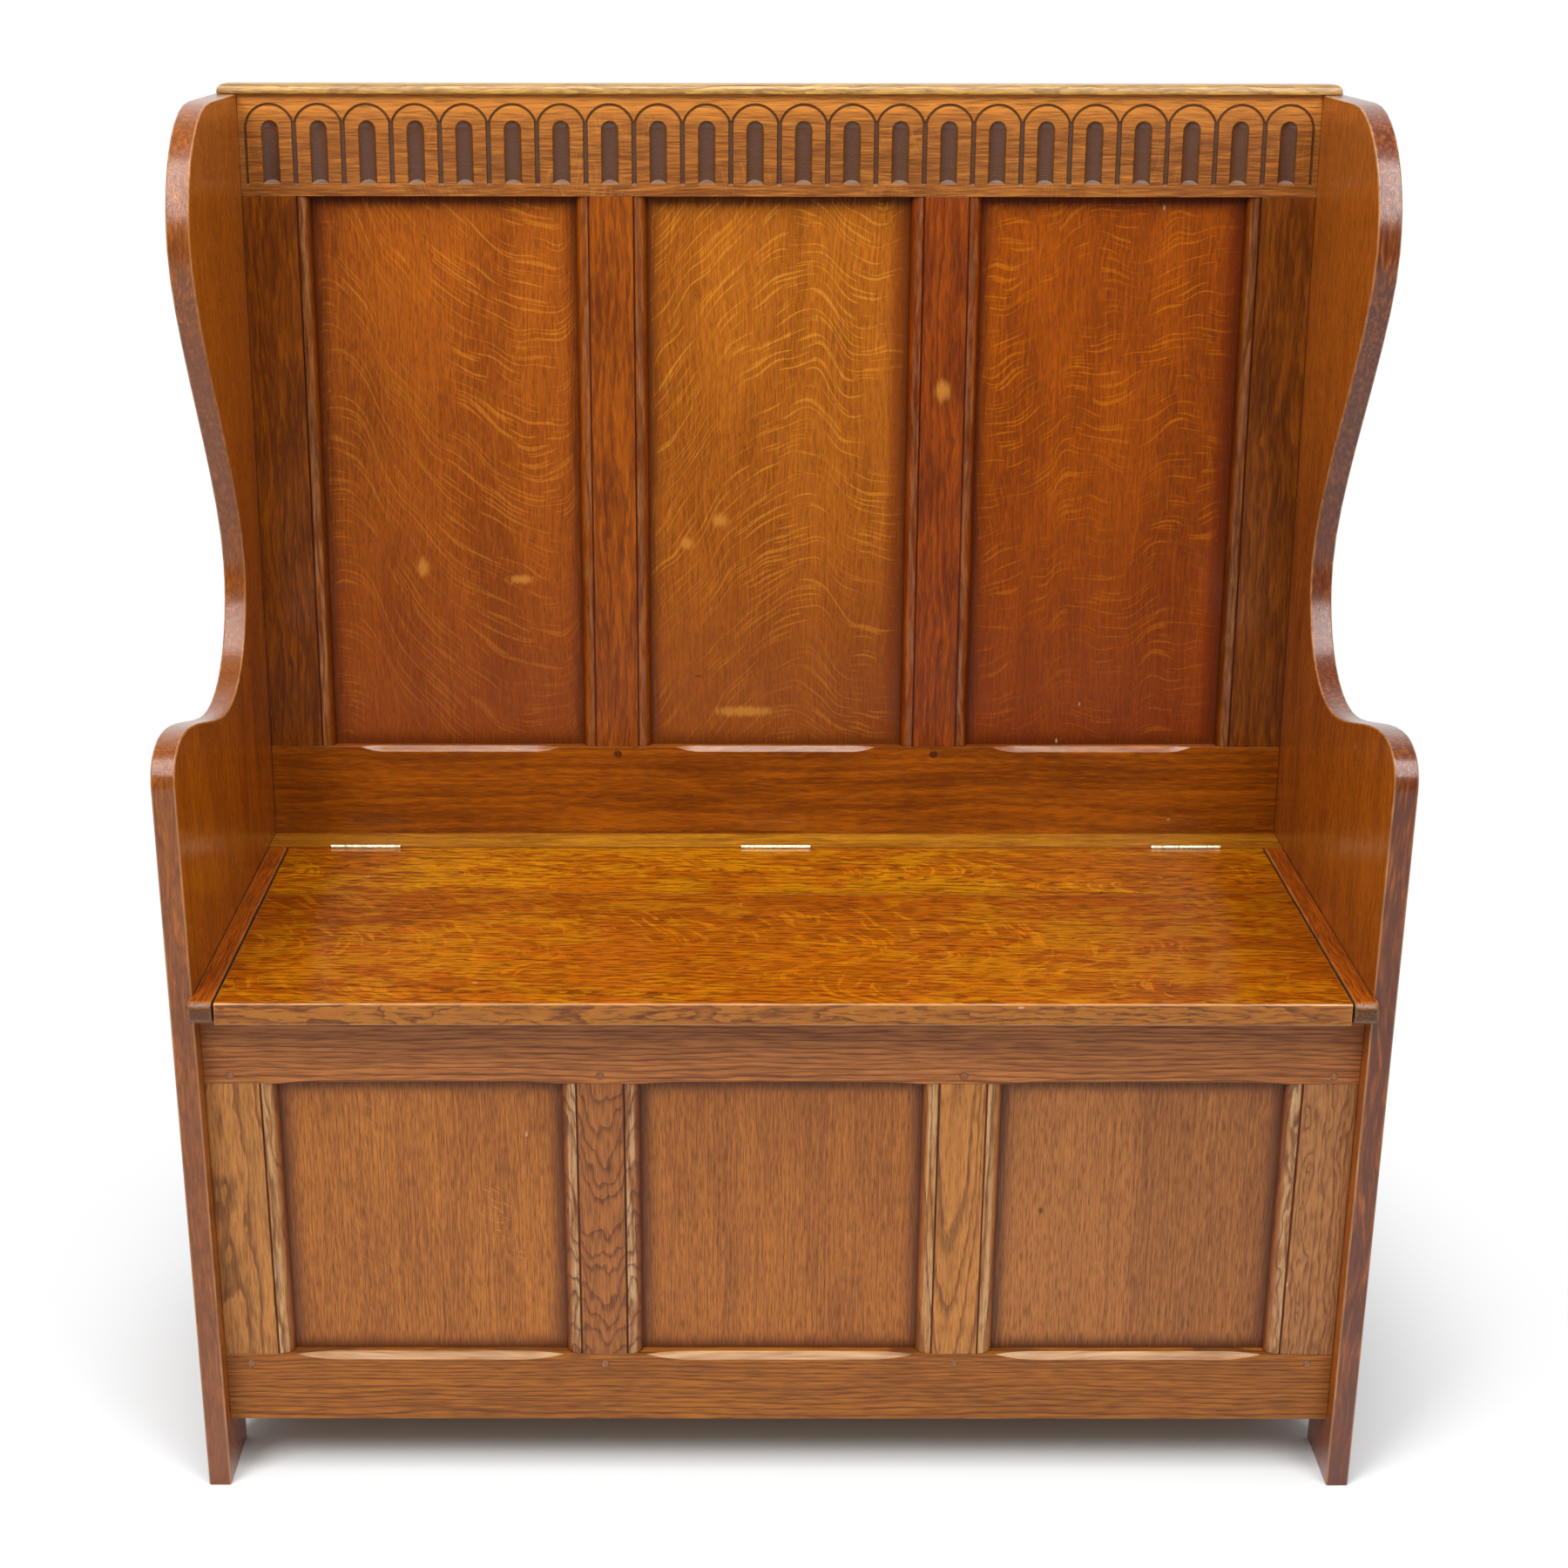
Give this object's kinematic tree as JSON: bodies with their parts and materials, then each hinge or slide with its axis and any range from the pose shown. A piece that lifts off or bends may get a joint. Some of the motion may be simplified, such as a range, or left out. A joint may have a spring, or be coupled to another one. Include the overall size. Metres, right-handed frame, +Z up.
{
  "type": "settle bench",
  "caption": "High-backed wooden settle with shaped ends, a leaning panelled back, a carved top rail and a hinged seat over a storage box.",
  "frame": {"origin": "centre of the bounding box at the floor", "axes": "+Z up, -Y towards the sitter's front, +X to the right seen from the front"},
  "size_m": [1.02, 0.4664, 1.1833],
  "materials": {
    "oak_ends": "satin varnished oak, red-brown",
    "oak_frame": "satin varnished oak, mid brown",
    "oak_back_frame": "satin varnished oak, dark brown",
    "oak_panel": "satin varnished quarter-sawn oak",
    "oak_seat": "gloss varnished oak, orange gold",
    "oak_carved": "satin varnished oak with darkened cuts",
    "oak_inside": "unfinished oak",
    "hinge_brass": "worn brass"
  },
  "bodies": {
    "settle": {"end_left": "oak_ends", "end_right": "oak_ends", "cap_rail": "oak_carved", "carved_rail": "oak_carved", "back_bottom_rail": "oak_back_frame", "back_stile_left": "oak_back_frame", "back_stile_right": "oak_back_frame", "back_muntin_left": "oak_back_frame", "back_muntin_right": "oak_back_frame", "back_panel_left": "oak_panel", "back_panel_centre": "oak_panel", "back_panel_right": "oak_panel", "back_peg_left": "oak_back_frame", "back_peg_right": "oak_back_frame", "front_top_rail": "oak_frame", "front_bottom_rail": "oak_frame", "front_stile_left": "oak_frame", "front_stile_right": "oak_frame", "front_muntin_left": "oak_frame", "front_muntin_right": "oak_frame", "front_panel_left": "oak_panel", "front_panel_centre": "oak_panel", "front_panel_right": "oak_panel", "front_top_peg_stile_left": "oak_frame", "front_top_peg_muntin_left": "oak_frame", "front_top_peg_muntin_right": "oak_frame", "front_top_peg_stile_right": "oak_frame", "front_bottom_peg_stile_left": "oak_frame", "front_bottom_peg_muntin_left": "oak_frame", "front_bottom_peg_muntin_right": "oak_frame", "front_bottom_peg_stile_right": "oak_frame", "side_strip_left": "oak_seat", "side_strip_right": "oak_seat", "hinge_rail": "oak_seat", "hinge_leaf_fixed_left": "hinge_brass", "hinge_leaf_fixed_centre": "hinge_brass", "hinge_leaf_fixed_right": "hinge_brass", "hinge_pin_left": "hinge_brass", "hinge_pin_centre": "hinge_brass", "hinge_pin_right": "hinge_brass", "box_back": "oak_inside", "floor_bearer_front": "oak_inside", "floor_bearer_rear": "oak_inside", "floor_board_1": "oak_inside", "floor_board_2": "oak_inside", "floor_board_3": "oak_inside"},
    "lid": {"lid_board_front": "oak_seat", "lid_board_rear": "oak_seat", "lid_batten_left": "oak_inside", "lid_batten_right": "oak_inside", "hinge_leaf_lid_left": "hinge_brass", "hinge_leaf_lid_centre": "hinge_brass", "hinge_leaf_lid_right": "hinge_brass"}
  },
  "joints": [
    {"name": "lid_hinge", "type": "hinge", "parent": "settle", "child": "lid", "pos_m": [0, 0.12699, 0.4796], "axis": [-1, 0, 0], "range_deg": [0, 99]}
  ]
}
